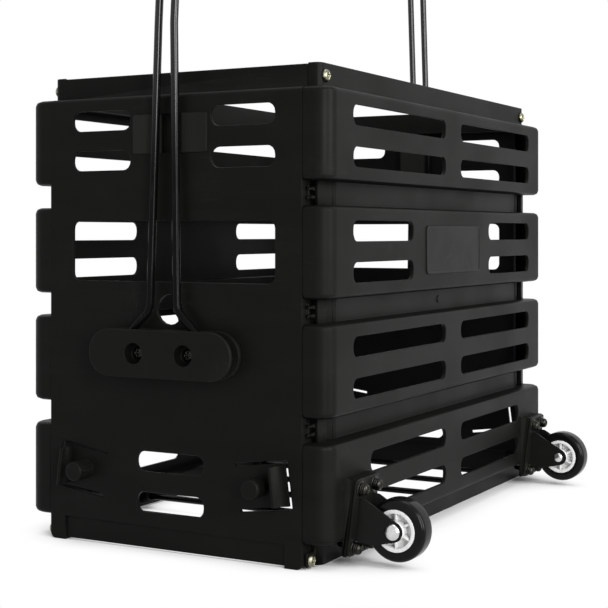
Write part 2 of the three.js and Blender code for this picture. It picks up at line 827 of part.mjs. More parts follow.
// Axle rivet: domed head on the outer side, small peened tail on the inner side
function axle(end) {
  const seat = wheelWidth / 2 + wheelGap + forkSheet + fit;
  const dome = Array.from({ length: domeSteps + 1 }, (_, step) => {
    const angle = Math.PI / 2 * step / domeSteps;
    return [axleHeadRadius * Math.sin(angle), -seat - axleHeadHeight * Math.cos(angle)];
  });
  const body = lathe([
    ...dome,
    [axleRadius, -seat],
    [axleRadius, seat],
    [axleTailRadius, seat],
    [axleTailRadius - axleTailChamfer, seat + axleTailHeight],
    [0, seat + axleTailHeight],
  ], bossSides);
  return wheelPlace(end < 0 ? body : mirrorY(body), end);
}

// Pivot bracket plates with fully rounded ends
function bracketShape() {
  return roundedRectangle(pivotHalfSpacing + bracketOverhang, bracketHalfHeight, bracketHalfHeight);
}

function backPlate() {
  const outer = front - backPlateThickness;
  const plate = move(extrudeY(bracketShape(), outer, front - fit, plateEndSteps), 0, 0, pivotZ);
  const holes = [-1, 1].flatMap((side) => [
    rodY(handleRodRadius + fit, outer - overrun, front, side * pivotHalfSpacing, pivotZ, bossSides),
    rodY(screwShankRadius + fit, outer - overrun, front, side * bracketScrewHalf, pivotZ, boreSides),
  ]);
  return cut(plate, holes);
}

function coverPlate() {
  const plate = extrudeY(bracketShape(), coverFront, coverBack, plateEndSteps, coverEdge, 1);
  const bodies = [move(plate, 0, 0, pivotZ)];
  const removed = [];
  const cupEnd = front - backPlateThickness - fit;
  for (const side of [-1, 1]) {
    const x = side * bracketScrewHalf;
    const floor = cupEnd - cupFloor;
    bodies.push(rodY(cupRadius + cupWall, coverBack - coverThickness / 2, cupEnd, x, pivotZ, discSides));
    removed.push(rodY(cupRadius, coverFront - overrun, floor, x, pivotZ, discSides));
    removed.push(rodY(screwShankRadius + fit, floor - overrun, cupEnd + overrun, x, pivotZ, boreSides));
  }
  return cut(join(bodies), removed);
}

function bracketScrews() {
  const seat = front - backPlateThickness - fit - cupFloor - fit;
  const pair = [-1, 1].map((side) => {
    const screw = panScrew(screwHeadRadius, screwHeadHeight, screwShankRadius, bracketScrewLength);
    return pointedFront(screw, side * bracketScrewHalf, seat, pivotZ);
  });
  return [...pair, ...pair.map(mirrorY)];
}

// Four alike screws that face sideways, one near each corner of the bin
function cornerScrews(seat, inset, z) {
  const screw = panScrew(screwHeadRadius, screwHeadHeight, screwShankRadius, screwLength - fit);
  const pair = [-1, 1].map((end) => pointedX(screw, seat, end * (halfLength - inset), z));
  return [...pair, ...pair.map(mirrorX)];
}

// Handle rod on the +X side: pivot pin, knee, leg, top bar and back down
function handleCorners() {
  const leanAt = (z) =>
    rodPlane + (Math.min(z, nipZ) - pivotZ) * legLean + Math.max(z - nipZ, 0) * upperLean;
  const half = [
    [pivotHalfSpacing, front + pivotPinDepth, pivotZ],
    [pivotHalfSpacing, rodPlane, pivotZ],
    [kneeHalf, leanAt(kneeZ), kneeZ],
    [nipHalf, leanAt(nipZ), nipZ],
    [nipHalf, leanAt(handleTopZ), handleTopZ],
  ];
  const rear = half.map(([x, y, z]) => [x, -y, z]).reverse();
  return [...half, ...rear].map(([x, y, z]) => new THREE.Vector3(x, y, z));
}

function handleRod() {
  const radii = [0, pivotBend, kneeBend, nipBend, topBend];
  const steps = [0, bendSteps, bendSteps, 1, topBendSteps];
  return bentRod(handleCorners(), [...radii, ...radii.slice().reverse()],
    [...steps, ...steps.slice().reverse()], handleRodRadius, rodSides);
}

// Soft sleeve on the top bar, rounded at both ends
function handleGrip() {
  const inner = handleRodRadius + fit;
  const half = gripLength / 2;
  const edge = gripRadius - inner;
  const shoulder = inner + edge * gripShoulderShare;
  const profile = [
    [inner, -half],
    [shoulder, -half],
    [gripRadius, edge - half],
    [gripRadius, half - edge],
    [shoulder, half],
    [inner, half],
    [inner, -half],
  ];
  return move(lathe(profile, discSides), nipHalf, 0, handleTopZ);
}

function bottomRod(y) {
  return rodX(bottomRodRadius, -webInner + fit * 2, webInner - fit * 2, y, bottomRodZ, bossSides);
}

function badge() {
  const shape = roundedRectangle(badgeLength / 2, badgeHeight / 2, badgeCorner);
  return move(extrudeX(shape, halfWidth + fit, halfWidth + fit + badgeThickness), 0, 0, bands[1].middle);
}

// Materials
const finishes = {
  plastic: { color: 0x232323, roughness: 0.55, metalness: 0 },
  plate: { color: 0x1c1c1b, roughness: 0.6, metalness: 0 },
  rod: { color: 0x161616, roughness: 0.25, metalness: 0.4 },
  vinyl: { color: 0x1a1a1a, roughness: 0.7, metalness: 0 },
  zinc: { color: 0xb9b9a4, roughness: 0.3, metalness: 1 },
  hub: { color: 0xd9dad8, roughness: 0.45, metalness: 0 },
  tyre: { color: 0x0e0e0e, roughness: 0.2, metalness: 0 },
  badge: { color: 0x2b2b2c, roughness: 0.35, metalness: 0 },
};
const materials = Object.fromEntries(Object.entries(finishes).map(([name, finish]) =>
  [name, new THREE.MeshStandardMaterial(finish)]));

const hopper = new THREE.Group();

function addPiece(name, body, finish) {
  const mesh = new THREE.Mesh(geometryOf(body), materials[finish]);
  mesh.name = name;
  hopper.add(mesh);
}

// Alike pieces, numbered from 1
function addEach(name, bodies, finish) {
  bodies.forEach((body, i) => addPiece(`${name}_${i + 1}`, body, finish));
}

const turned = (body) => body.rotate([0, 0, 180]);

const endFront = endPanel();
addPiece('end_panel_front', endFront, 'plastic');
addPiece('end_panel_rear', turned(endFront), 'plastic');
addPiece('side_panel_right', sidePanel(true), 'plastic');
addPiece('side_panel_left', mirrorX(sidePanel(false)), 'plastic');
addEach('bottom_rod', rodPlaces().map(bottomRod), 'rod');
addPiece('pivot_back_plate_front', backPlate(), 'plate');
addPiece('pivot_back_plate_rear', turned(backPlate()), 'plate');
addPiece('pivot_cover_front', coverPlate(), 'plate');
addPiece('pivot_cover_rear', turned(coverPlate()), 'plate');
addEach('bracket_screw', bracketScrews(), 'zinc');
addEach('rim_screw', cornerScrews(webOuter + fit, rimScrewInset, binHeight - rimScrewDrop), 'zinc');
addEach('foot_screw', cornerScrews(seamHalf + tabThickness + fit * 2, footScrewInset, footScrewZ), 'zinc');
addPiece('handle_rod_right', handleRod(), 'rod');
addPiece('handle_rod_left', mirrorX(handleRod()), 'rod');
addPiece('handle_grip_right', handleGrip(), 'vinyl');
addPiece('handle_grip_left', mirrorX(handleGrip()), 'vinyl');
addPiece('blank_badge', badge(), 'badge');
for (const [place, end] of [['front', -1], ['rear', 1]]) {
  addPiece(`caster_fork_${place}`, casterFork(end), 'plate');
  addPiece(`wheel_hub_${place}`, hub(end), 'hub');
  addPiece(`wheel_tyre_${place}`, tyre(end), 'tyre');
  addPiece(`wheel_axle_${place}`, axle(end), 'zinc');
}
addEach('caster_screw', casterScrews(), 'zinc');

// The origin is the middle of the whole footprint, wheels included
hopper.position.x = -(axleReach + wheelRadius) / 2;

export default hopper;
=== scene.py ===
"""A tennis ball hopper with folding rod handles, dressed over its jointed frame."""

import math

import bmesh
import bpy
import numpy as np
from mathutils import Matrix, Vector


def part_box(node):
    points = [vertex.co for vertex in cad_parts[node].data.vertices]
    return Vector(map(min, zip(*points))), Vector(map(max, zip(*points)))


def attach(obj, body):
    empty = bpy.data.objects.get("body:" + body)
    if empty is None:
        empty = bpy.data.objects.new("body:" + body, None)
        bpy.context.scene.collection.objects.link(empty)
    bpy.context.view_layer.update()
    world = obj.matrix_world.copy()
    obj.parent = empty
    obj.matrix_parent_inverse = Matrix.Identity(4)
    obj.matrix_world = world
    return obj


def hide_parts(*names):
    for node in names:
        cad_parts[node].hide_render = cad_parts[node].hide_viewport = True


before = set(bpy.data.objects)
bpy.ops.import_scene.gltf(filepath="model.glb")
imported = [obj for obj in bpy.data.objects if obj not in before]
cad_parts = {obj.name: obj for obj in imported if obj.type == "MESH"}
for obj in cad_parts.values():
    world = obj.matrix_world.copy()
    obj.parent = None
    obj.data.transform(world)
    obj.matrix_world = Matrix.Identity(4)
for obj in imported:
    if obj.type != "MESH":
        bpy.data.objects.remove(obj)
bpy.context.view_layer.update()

bl_info = {
    "name": "Tennis Ball Hopper",
    "version": (1, 0, 0),
    "blender": (4, 5, 0),
    "location": "View3D > Sidebar > Hopper",
    "description": "Builds the visible surfaces of a tennis ball hopper and a plain studio round it",
    "category": "Object",
}

MM = 0.001
MOULDINGS = ("side_panel_right", "side_panel_left", "end_panel_front", "end_panel_rear")
BRACKETS = tuple(f"pivot_{part}_{end}" for part in ("cover", "back_plate") for end in ("front", "rear"))
ENDS = (("front", -1), ("rear", 1))

# Middle above the floor and half height, in millimetres
GAPS = ((93.1, 8.8), (173.1, 8.8), (253.1, 8.8))
BANDS = ((50.85, 32.5), (133.1, 30.5), (213.1, 30.5), (293.1, 30.5))
RESTS = ((296.5, 14),)

# Upright bars near a corner, in millimetres: middle in X and Y from the bin's middle, half sizes in X
# and Y, then squareness and turn in degrees
WINDOW_BARS = (
    (111.9, 198.8, 1.45, 4.7, 0.12, 10),
    (112.8, 181.1, 1.1, 2.2, 0.35, 12),
    (106.75, 188.1, 0.8, 8.05, 0.12, 47),
)
SEAM_BACKING = (106.55, 213.6, 0.22, 1.0, 0.12, 0)
REST_EDGE = (11.9, 213.1, 3.3, 3.3, 1.0, 0)

# Screws: height of a head, and thickness and tilt of the casters' fork plates under the heads
HEAD_RISE = 2.6 * MM
FORK_PLATE = 1.3 * MM
FORK_TILT = math.radians(7)
WASHER_STACK = 4.0 * MM
WASHER_BORE = 2.3 * MM
# Start along the screw, outer radius and thickness of each ring in the stack, in millimetres
WASHER_RINGS = ((0.0, 5.4, 1.2), (1.4, 4.2, 1.1), (2.7, 4.2, 1.1))

# Badge: corner radius, and the section from the back edge over the rim to the sunk face, as inset in
# millimetres and level as a share of how far the plate stands out
BADGE_CORNER = 4 * MM
BADGE_SECTION = (
    (0, -1.7), (0.3, -0.6), (0.5, -0.05), (0.8, 0.1), (1.1, 0.1), (1.4, -0.1), (1.6, -0.4), (2, -0.5),
    (2.8, -0.5))

# Soft boxes: place, width, height and power, and the point that they face
LAMPS = (
    ("side_box", (1.75, -0.15, 0.7), 0.5, 1.3, 28),
    ("front_box", (1.6, -1.45, 0.7), 0.4, 1.3, 33),
    ("top_box", (-0.1, 0.0, 2.2), 1.4, 1.4, 20),
)
LAMP_AIM = Vector((0, 0, 0.2))


def node_room(node):
    """A frame node's middle and half sizes."""
    low, high = np.array(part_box(node))
    return (low + high) / 2, (high - low) / 2


BIN_CENTRE_X = node_room("end_panel_front")[0][0]
END_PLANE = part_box("side_panel_right")[0][1]


def length(name, description, default):
    """A length setting, with its default in millimetres."""
    return bpy.props.FloatProperty(
        name=name, description=description, default=default * MM, unit="LENGTH", precision=5)


def number(name, description, default):
    """A plain number setting."""
    return bpy.props.FloatProperty(name=name, description=description, default=default)


def tint(name, description, *default):
    """A colour setting, as linear RGB."""
    return bpy.props.FloatVectorProperty(
        name=name, description=description, default=default, subtype="COLOR", size=3)


class HopperSizes(bpy.types.PropertyGroup):
    """Sizes that the visible surfaces are worked out from."""

    edge_round: length("Edge rounding", "Radius left by the mould on outer edges", 0.7)
    bracket_round: length("Bracket rounding", "Radius on the pivot bracket's edges", 0.7)
    sheet_round: length("Sheet rounding", "Radius on the edges of the stamped forks", 0.3)
    rod_radius: length("Handle rod radius", "Half the thickness of the bent handle rods", 2.9)
    pivot_spacing: length("Pivot offset", "Distance of each handle pivot from the bin's middle", 42.52)
    pivot_height: length("Pivot height", "Height of the handle pivots", 141.2)
    pin_depth: length("Pin depth", "How far the rod's end reaches inside the end plane", 9)
    rod_offset: length("Rod offset", "Distance of the rod from the end plane at its pivot", 8.2)
    knee_offset: length("Knee offset", "Distance of the rod's knee from the bin's middle", 11.3)
    nip_offset: length("Nip offset", "Distance of the upper rod from the bin's middle", 6.6)
    nip_height: length("Nip height", "Height where the rod turns upright", 374)
    handle_height: length("Handle height", "Height of the handles' top bar", 779)
    lower_lean: number("Lower lean", "Inward slope of the rods below the nip", 0.0178)
    upper_lean: number("Upper lean", "Inward slope of the rods above the nip", 0.07)
    top_bend: length("Top bend", "Radius of the bends at the top bar", 40)
    knee_bend: length("Knee bend", "Radius of the bend at the knee", 12)
    pin_bend: length("Pin bend", "Radius of the bend into the pivot pin", 4)
    grip_ribs: bpy.props.IntProperty(
        name="Grip ribs", description="Ribs along each handle sleeve", default=24, min=4)
    spokes: bpy.props.IntProperty(
        name="Hub spokes", description="Spokes in each caster hub", default=6, min=3)


class HopperColours(bpy.types.PropertyGroup):
    """Base colours of the finishes, as linear RGB."""

    moulding: tint("Moulded plastic", "Bin panels", 0.005, 0.005, 0.0045)
    bracket: tint("Bracket plastic", "Pivot plates", 0.005, 0.005, 0.0043)
    rod: tint("Rod coating", "Handle and floor rods", 0.002, 0.002, 0.002)
    sleeve: tint("Sleeve", "Soft sleeves on the handles", 0.01, 0.01, 0.01)
    screw: tint("Screw plating", "Screws of the rim and feet", 0.22, 0.216, 0.155)
    # Dark plating: real dark steel on the caster screws, and painted shade on the bracket screws sunk in
    # their cups.
    dark_screw: tint("Dark plating", "Screws of the casters and pivot brackets", 0.03, 0.0295, 0.026)
    rivet: tint("Axle metal", "Domed axle rivets", 0.62, 0.62, 0.62)
    fork: tint("Fork paint", "Stamped caster forks", 0.006, 0.006, 0.0055)
    hub: tint("Hub plastic", "Caster hubs", 0.72, 0.73, 0.72)
    tyre: tint("Tyre", "Caster tyres", 0.0042, 0.0042, 0.0042)
    badge: tint("Badge", "Blank plate on the second band", 0.0045, 0.0045, 0.0043)


class StudioSettings(bpy.types.PropertyGroup):
    """Where the camera stands and how the studio is lit."""

    azimuth: bpy.props.FloatProperty(
        name="Azimuth", description="Turn of the camera round the hopper", default=math.radians(28.66),
        subtype="ANGLE")
    corner_distance: length("Corner distance", "Depth of the near corner in front of the camera", 908)
    eye_height: length("Eye height", "Height of the camera above the floor", 226)
    focal_pixels: number("Focal length in pixels", "Focal length of the photograph's frame", 1372.2)
    frame_pixels: number("Frame size in pixels", "Width and height of the photograph", 608.0)
    corner_column: number("Corner column", "Pixel column of the bin's near corner", 329.0)
    horizon_row: number("Horizon row", "Pixel row of the horizon", 233.12)


# Surfaces

def surface(name, points, wrap_u=False, wrap_v=True, cap_ends=False, weld=1e-6):
    """A mesh object from a grid of points, shape (rows, columns, 3).

    Each grid cell is one quad. wrap_u joins the last row to the first, wrap_v the last column to
    the first, and cap_ends closes the first and last rows with one face each. Doubled points are
    welded, and the smooth faces point outwards.
    """
    rows, columns, _ = points.shape
    index = np.arange(rows * columns).reshape(rows, columns)
    if wrap_u:
        index = np.vstack([index, index[:1]])
    if wrap_v:
        index = np.hstack([index, index[:, :1]])
    quads = np.stack([index[:-1, :-1], index[:-1, 1:], index[1:, 1:], index[1:, :-1]], axis=-1)
    faces = quads.reshape(-1, 4).tolist()
    if cap_ends:
        faces.append(np.arange(columns)[::-1].tolist())
        faces.append(np.arange((rows - 1) * columns, rows * columns).tolist())
    mesh = bpy.data.meshes.new(name)
    mesh.from_pydata(points.reshape(-1, 3).tolist(), [], faces)
    body = bmesh.new()
    body.from_mesh(mesh)
    bmesh.ops.remove_doubles(body, verts=body.verts, dist=weld)
    bmesh.ops.dissolve_degenerate(body, edges=body.edges, dist=weld)
    bmesh.ops.recalc_face_normals(body, faces=body.faces)
    body.to_mesh(mesh)
    body.free()
    mesh.shade_smooth()
    piece = bpy.data.objects.new(name, mesh)
    bpy.context.collection.objects.link(piece)
    return piece


def joined(name, pieces):
    """One object holding the meshes of several."""
    kept = pieces[0]
    with bpy.context.temp_override(
            active_object=kept, object=kept, selected_objects=pieces, selected_editable_objects=pieces):
        bpy.ops.object.join()
    kept.name = name
    kept.data.name = name
    return kept


def rounded(points, radii, steps=6):
    """A polyline with its corners turned into arcs.

    At each corner an arc of the given radius touches both sides: it starts radius * tan(turn / 2)
    before the corner, and its points are start + r sin(a) * before + r (1 - cos(a)) * inward.
    """
    points = np.asarray(points, float)
    out = [points[:1]]
    for corner, before_point, after_point, radius in zip(points[1:-1], points[:-2], points[2:], radii):
        before = (corner - before_point) / np.linalg.norm(corner - before_point)
        after = (after_point - corner) / np.linalg.norm(after_point - corner)
        turn = math.acos(np.clip(before @ after, -1, 1))
        if radius <= 0 or turn < 1e-4:
            out.append(corner[None])
            continue
        start = corner - before * radius * math.tan(turn / 2)
        inward = after - before * (before @ after)
        inward /= np.linalg.norm(inward)
        angle = np.linspace(0, turn, steps + 1)[:, None]
        out.append(start + radius * np.sin(angle) * before + radius * (1 - np.cos(angle)) * inward)
    out.append(points[-1:])
    return np.vstack(out)


def circle(steps):
    """Angles evenly round a circle."""
    return np.linspace(0, 2 * np.pi, steps, endpoint=False)


def tube(name, path, radius, sides=20, side_hint=(0.25, 1.0, 0.15), end_round=0.35):
    """A round rod along a path.

    Around each path point the section is centre + r (cos(a) * side + sin(a) * up), with side square
    to the path's tangent and to a fixed hint, and up square to both. The first and last rings
    shrink by end_round of the radius, so the ends are eased.
    """
    tangent = np.gradient(path, axis=0)
    tangent /= np.linalg.norm(tangent, axis=1, keepdims=True)
    side = np.cross(tangent, np.asarray(side_hint, float))
    side /= np.linalg.norm(side, axis=1, keepdims=True)
    up = np.cross(side, tangent)
    ease = radius * end_round
    doubled = [0, *range(len(path)), -1]
    path, side, up = path[doubled], side[doubled], up[doubled]
    path[1] += tangent[0] * ease
    path[-2] -= tangent[-1] * ease
    radii = np.full(len(path), radius)
    radii[[0, -1]] -= ease
    angle = circle(sides)
    ring = np.cos(angle)[None, :, None] * side[:, None] + np.sin(angle)[None, :, None] * up[:, None]
    return surface(name, path[:, None] + radii[:, None, None] * ring, cap_ends=True)


def turned(name, profile, centre, axis="Y", steps=64, closed=False):
    """A body of revolution.

    profile holds (radius, height) pairs along the axis; each point becomes the circle
    (r cos(a), height, r sin(a)), or (r cos(a), r sin(a), height) where the axis is Z.
    """
    profile = np.asarray(profile, float)
    angle = circle(steps)
    radius = profile[:, 0][:, None]
    height = np.broadcast_to(profile[:, 1][:, None], (len(profile), steps))
    flat = [radius * np.cos(angle), radius * np.sin(angle)]
    order = {"Y": (flat[0], height, flat[1]), "Z": (*flat, height)}[axis]
    points = np.stack(order, axis=-1) + np.asarray(centre, float)
    return surface(name, points, wrap_u=closed)


def squared_ring(power, steps=28):
    """Points (x, y) of the superellipse x = cos(a) |cos(a)|^(p - 1), y = sin(a) |sin(a)|^(p - 1)."""
    angle = circle(steps)
    return [np.sign(wave) * np.abs(wave) ** power for wave in (np.cos(angle), np.sin(angle))]


def bar(name, centre, half, power, turn=0.0):
    """An upright bar with a superellipse for its section, turned about its middle by t degrees.

    The section x, y turns to x cos(t) - y sin(t), x sin(t) + y cos(t). The first and last rings are a
    tenth narrower.
    """
    x, y = (size * ring for size, ring in zip(half, squared_ring(power)))
    cos, sin = math.cos(math.radians(turn)), math.sin(math.radians(turn))
    narrow = np.array([0.9, 1, 1, 0.9])[:, None]
    height = half[2] * np.array([-1, -0.96, 0.96, 1])[:, None]
    points = np.stack([narrow * (x * cos - y * sin), narrow * (x * sin + y * cos), height + 0 * x], axis=-1)
    return surface(name, points + np.asarray(centre, float), cap_ends=True)


def arc(centre, radius, start, stop, steps=6):
    """Points centre + radius (cos(a), sin(a)) for a from start to stop in degrees."""
    angle = np.radians(np.linspace(start, stop, steps + 1))
    return np.stack([centre[0] + radius * np.cos(angle), centre[1] + radius * np.sin(angle)], axis=-1)


def cross_head(name, radius, height, recess, shank, length, rings=22, spokes=48):
    """A pan head screw with a cross recess, standing on the plane z = 0 with its head upwards.

    At the share s of its radius the head's height is h (1 - s^3.2)^0.62. The recess takes away its
    depth * clamp((width - min(|x|, |y|)) / slope), times the same of the arm and max(|x|, |y|).
    """
    share = np.linspace(0, 1, rings)[:, None] ** 0.8
    angle = circle(spokes)[None]
    x = radius * share * np.cos(angle)
    y = radius * share * np.sin(angle)
    dome = height * (1 - share ** 3.2) ** 0.62 + 0 * angle
    arm = 0.56 * radius
    width = 0.2 * radius
    across = np.minimum(np.abs(x), np.abs(y))
    along = np.maximum(np.abs(x), np.abs(y))
    notch = np.clip((width - across) / (width * 0.45), 0, 1) * np.clip((arm - along) / (arm * 0.3), 0, 1)
    z = dome - recess * notch
    top = np.stack([x, y, z], axis=-1)
    skirt = [(radius, 0.0), (shank, 0.0), (shank, -length + shank), (shank * 0.3, -length), (0.0, -length)]
    below = [np.stack([r * np.cos(angle[0]), r * np.sin(angle[0]), np.full(spokes, h)], axis=-1)
             for r, h in skirt]
    return surface(name, np.concatenate([top, below]))


def place(piece, axes, origin):
    """Puts a piece's local x, y and z along three right-handed directions and its origin at a point."""
    mesh = piece.data
    points = np.empty(len(mesh.vertices) * 3)
    mesh.vertices.foreach_get("co", points)
    points = points.reshape(-1, 3) @ np.asarray(axes, float) + np.asarray(origin, float)
    mesh.vertices.foreach_set("co", points.ravel())
    mesh.update()
    return piece


def outlines(body, angle, width):
    """Sharp edges of a bmesh as [edges, share] lists, one for each outline.

    Edges belong to one outline where they meet at less than 50 degrees of turn. The share is how
    much of the bevel width the faces beside the outline leave room for at its tightest corner.
    """
    goes_on, straight_on, least_lean, room_taken = -0.64, -0.9, 0.002, 0.45  # the first two are cosines
    sharp = {edge for edge in body.edges if len(edge.link_faces) == 2 and edge.calc_face_angle(0) > angle}
    group = {edge: [edge] for edge in sharp}
    share = dict.fromkeys(sharp, 1.0)
    for edge in sharp:
        for vert in edge.verts:
            along = (edge.other_vert(vert).co - vert.co).normalized()
            for side in vert.link_edges:
                if side is edge:
                    continue
                across = side.other_vert(vert).co - vert.co
                turn = across.normalized().dot(along)
                clear = across.cross(along).length
                if side in sharp and turn < goes_on and group[side] is not group[edge]:
                    group[edge].extend(group[side])
                    group.update(dict.fromkeys(group[side], group[edge]))
                beside = any(face in side.link_faces for face in edge.link_faces)
                if beside and (turn > straight_on if side in sharp else clear > least_lean * across.length):
                    share[edge] = min(share[edge], room_taken * clear / width)
    chains = {id(edges): edges for edges in group.values()}.values()
    return [[edges, min(share[edge] for edge in edges)] for edges in chains]


def folded_corners(mesh, least=0.05 * MM * MM):
    """Corners of the triangles over the least area that lie upside down in their own flat face."""
    mesh.calc_loop_triangles()
    faces = mesh.polygons
    return [mesh.vertices[corner].co.copy() for triangle in mesh.loop_triangles
            if triangle.area > least and triangle.normal.dot(faces[triangle.polygon_index].normal) < 0
            for corner in triangle.vertices]


def runs_by(edge, points, reach):
    """Whether an edge passes within reach of any of the points."""
    start, stop = (vert.co for vert in edge.verts)
    line = stop - start
    shares = (min(1.0, max(0.0, (point - start).dot(line) / line.length_squared)) for point in points)
    return any((start + line * share - point).length < reach for share, point in zip(shares, points))


def rounded_copy(node, width, segments=3, angle=38.0):
    """A copy of a frame node with its flat triangles merged and its sharp outlines rounded.

    An outline whose rounding would fold a flat face is narrowed by half if it is long and left
    sharp if it is short, for up to five rounds or until no face folds.
    """
    weld, flat, tries = 0.02 * MM, math.radians(0.5), 5
    least_share, halved_to, long_outline, near_fold = 0.35, 0.1, 40 * MM, width * 1.6
    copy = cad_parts[node].copy()
    copy.data = copy.data.copy()
    copy.name = f"{node}_surface"
    copy.data.name = copy.name
    bpy.context.collection.objects.link(copy)
    body = bmesh.new()
    body.from_mesh(copy.data)
    bmesh.ops.remove_doubles(body, verts=body.verts, dist=weld)
    bmesh.ops.dissolve_limit(body, angle_limit=flat, verts=body.verts, edges=body.edges)
    weight = body.edges.layers.float.new("bevel_weight_edge")
    chains = [chain for chain in outlines(body, math.radians(angle), width) if chain[1] > least_share]
    edge = copy.modifiers.new("rounded edges", "BEVEL")
    edge.width = width
    edge.segments = segments
    edge.limit_method = "WEIGHT"
    edge.use_clamp_overlap = False
    graph = bpy.context.evaluated_depsgraph_get()
    for _ in range(tries):
        for edges, share in chains:
            for one in edges:
                one[weight] = share
        body.to_mesh(copy.data)
        copy.update_tag()
        graph.update()
        held = copy.evaluated_get(graph)
        corners = folded_corners(held.to_mesh())
        held.to_mesh_clear()
        if not corners:
            break
        for chain in chains:
            if chain[1] and any(runs_by(one, corners, near_fold) for one in chain[0]):
                long = sum(one.calc_length() for one in chain[0]) > long_outline
                chain[1] = chain[1] / 2 if long and chain[1] > halved_to else 0.0
    body.free()
    copy.data.shade_smooth()
    normal = copy.modifiers.new("flat faces stay flat", "WEIGHTED_NORMAL")
    normal.mode = "FACE_AREA"
    normal.weight = 100
    normal.keep_sharp = False
    return copy


def stands_for(piece, body, material, slot, *nodes):
    """Gives a piece its finish, seats it on its body and hides the frame nodes that it stands for."""
    piece.data.materials.clear()
    piece.data.materials.append(material)
    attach(piece, body)
    if nodes:
        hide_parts(*nodes)


# Finishes

class Value:
    """A value carried by a shader socket; arithmetic on it adds the nodes that work it out."""

    def __init__(self, nodes, socket):
        self.nodes = nodes
        self.socket = socket

    def math(self, operation, *values):
        return self.nodes.node("ShaderNodeMath", {"operation": operation}, dict(enumerate(values)))

    def __add__(self, other):
        return self.math("ADD", self, other)

    def __sub__(self, other):
        return self.math("SUBTRACT", self, other)

    def __rsub__(self, other):
        return self.math("SUBTRACT", other, self)

    def __mul__(self, other):
        return self.math("MULTIPLY", self, other)

    def __abs__(self):
        return self.math("ABSOLUTE", self)

    __radd__ = __add__
    __rmul__ = __mul__

    def highest(self, other):
        return self.math("MAXIMUM", self, other)

    def between(self, low, high):
        """Nought below low, one above high and a smooth rise between."""
        return self.nodes.node("ShaderNodeMapRange", {"interpolation_type": "SMOOTHSTEP"},
                               {"Value": self, "From Min": low, "From Max": high})


class Nodes:
    """A node tree under construction."""

    def __init__(self, tree):
        self.tree = tree

    def fill(self, node, values):
        for key, value in values.items():
            socket = node.inputs[key]
            if isinstance(value, Value):
                self.tree.links.new(value.socket, socket)
            else:
                socket.default_value = value

    def node(self, kind, settings, values, output=0):
        """Adds a node, sets its settings and then its sockets, and returns one of its outputs."""
        node = self.tree.nodes.new(kind)
        for key, value in settings.items():
            setattr(node, key, value)
        self.fill(node, values)
        return Value(self, node.outputs[output])

    def seen(self):
        """One for rays from the camera, off a gloss or through a clear body, nought for the rest."""
        camera, gloss, clear = (self.node("ShaderNodeLightPath", {}, {}, f"Is {kind} Ray")
                                for kind in ("Camera", "Glossy", "Transmission"))
        return camera.highest(gloss).highest(clear)


class Recipe(Nodes):
    """A material under construction: its node tree and its shader."""

    def __init__(self, name, colour, roughness, metallic=0.0, specular=0.5):
        self.material = bpy.data.materials.new(name)
        self.material.use_nodes = True
        super().__init__(self.material.node_tree)
        self.shader = self.tree.nodes["Principled BSDF"]
        self.colour = tuple(colour)
        self.fill(self.shader, {
            "Base Color": (*colour, 1), "Roughness": roughness, "Metallic": metallic,
            "Specular IOR Level": specular})

    def noise(self, size, detail=3.0, stretch=(1, 1, 1)):
        """Noise over the object's own coordinates, with lumps of about the given size in metres."""
        place = self.node("ShaderNodeTexCoord", {}, {}, "Object")
        spot = self.node("ShaderNodeMapping", {}, {"Vector": place, "Scale": [1 / s for s in stretch]})
        return self.node("ShaderNodeTexNoise", {}, {"Vector": spot, "Scale": 1 / size, "Detail": detail})

    def axis(self, letter):
        """The object's own X, Y or Z in metres."""
        place = self.node("ShaderNodeTexCoord", {}, {}, "Object")
        return self.node("ShaderNodeSeparateXYZ", {}, {"Vector": place}, letter)

    def scratches(self, length, width, share):
        """Thin marks in two directions: one where a long stretched noise comes near its middle value."""
        level, upright = (
            1 - abs(self.noise(1.0, 1.0, stretch) - 0.5).between(0.0, share)
            for stretch in ((width, length, length), (length, length, width)))
        patches = self.noise(length, 2.0).between(0.5, 0.62)
        return level.highest(upright) * patches

    def shade(self, amount, spread):
        """The base colour, darker by spread where the amount is nought and lighter where it is one."""
        darker, lighter = ([part * share for part in self.colour] for share in (1 - spread, 1 + spread))
        return self.laid_over((*darker, 1), amount, lighter)

    def clouded(self, noise, spread):
        """The base colour, darker and lighter by spread in a noise's clouds."""
        return self.shade(noise.between(0.3, 0.7), spread)

    def uneven(self, noise, low, swing):
        """A roughness that goes from low up to low + swing in a noise's clouds."""
        return low + noise.between(0.35, 0.65) * swing

    def laid_over(self, base, amount, top_colour):
        """A colour with another one laid over it by an amount from nought to one."""
        return self.node("ShaderNodeMix", {"data_type": "RGBA"}, {0: amount, 6: base, 7: (*top_colour, 1)}, 2)

    def feed(self, **values):
        self.fill(self.shader, {key.replace("_", " "): value for key, value in values.items()})

    def finished(self, *layers):
        """The material, its surface bumped by height maps, each as (height, depth in millimetres)."""
        normal = None
        for height, depth in layers:
            sockets = {"Height": height, "Distance": depth * MM, "Strength": 1.0}
            if normal:
                sockets["Normal"] = normal
            normal = self.node("ShaderNodeBump", {}, sockets)
        self.feed(Normal=normal)
        return self.material


